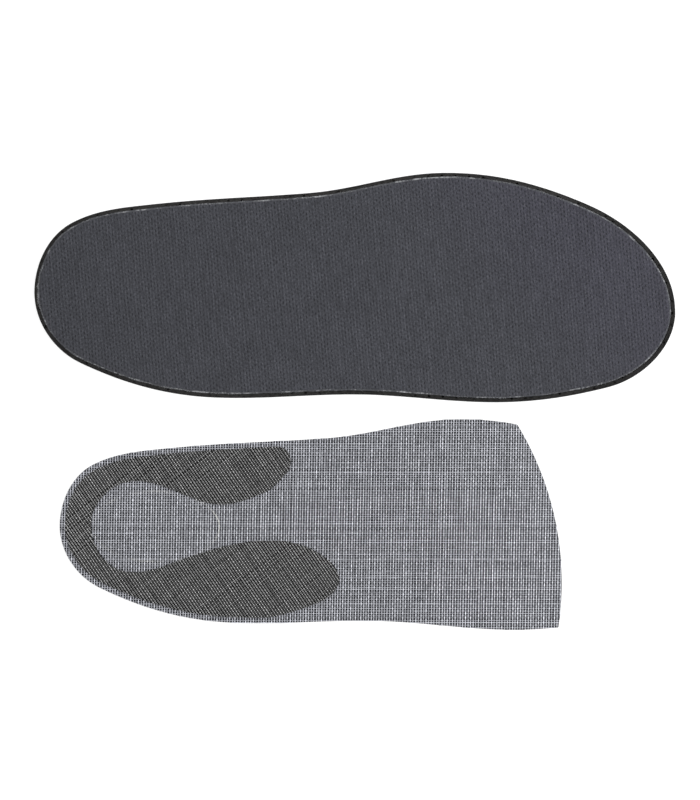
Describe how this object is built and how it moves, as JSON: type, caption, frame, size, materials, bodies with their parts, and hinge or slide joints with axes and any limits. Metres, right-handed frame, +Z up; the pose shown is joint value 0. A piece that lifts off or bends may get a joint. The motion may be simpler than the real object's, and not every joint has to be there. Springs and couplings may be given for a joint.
{
  "type": "cushioned insole",
  "caption": "Flat layered left insole with a knitted cover, shown with its woven stiffening core laid out beside it.",
  "frame": {"origin": "on the floor, in the middle of the box that holds the insole and the core beside it", "axes": "+X from heel to toe, +Y to the outer side of the left foot, +Z up out of the cover"},
  "size_m": [0.2804, 0.1998, 0.0065],
  "materials": {
    "black_foam": "matt closed-cell foam",
    "pale_backing": "brushed, with a fuzzy cut edge",
    "grey_knit": "fine knitted textile",
    "woven_laminate": "plain weave in resin, matt",
    "dark_laminate": "plain weave on the bias in resin, matt",
    "cream_insert": "soft matt elastomer"
  },
  "bodies": {
    "insole": {"base_foam": "black_foam", "cushion_foam": "black_foam", "cover_backing": "pale_backing", "top_cover": "grey_knit"},
    "core": {"core_lower_ply": "woven_laminate", "heel_insert": "cream_insert", "core_upper_ply": "woven_laminate", "heel_horseshoe": "dark_laminate"}
  },
  "joints": [
    {"name": "core_lift", "type": "slide", "parent": "insole", "child": "core", "axis": [0, 0, 1], "range_m": [0, 0.06]}
  ]
}
